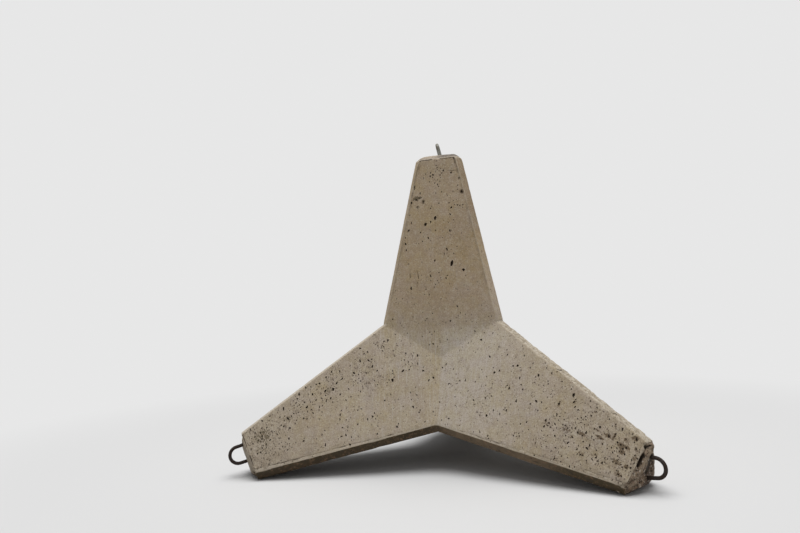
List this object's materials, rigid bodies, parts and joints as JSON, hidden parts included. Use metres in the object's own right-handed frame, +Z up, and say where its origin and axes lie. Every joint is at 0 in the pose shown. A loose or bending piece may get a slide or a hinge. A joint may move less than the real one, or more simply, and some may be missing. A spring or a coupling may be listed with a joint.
{
  "type": "concrete barrier block",
  "caption": "Star-shaped precast concrete barrier block with tapered triangular arms and a steel lifting loop in each arm's end, set on the ground to stop vehicles.",
  "frame": {"origin": "on the floor, straight below the point where the axes of the arms meet", "axes": "+Z up along the upright arm's axis; +Y towards the lower arm at the back; the left and right lower arms point 210 and 330 degrees round from +X, towards the viewer of the picture"},
  "size_m": [2.9989, 2.6657, 2.4884],
  "materials": {
    "concrete": "bare cast concrete with bug holes, matte",
    "grey_steel": "bare round bar, dull grey",
    "rusted_steel": "bare round bar, dark rust"
  },
  "bodies": {
    "root": {"concrete_block": "concrete", "lifting_loop_top": "grey_steel", "lifting_loop_left": "rusted_steel", "lifting_loop_right": "rusted_steel", "lifting_loop_back": "rusted_steel"}
  },
  "joints": []
}
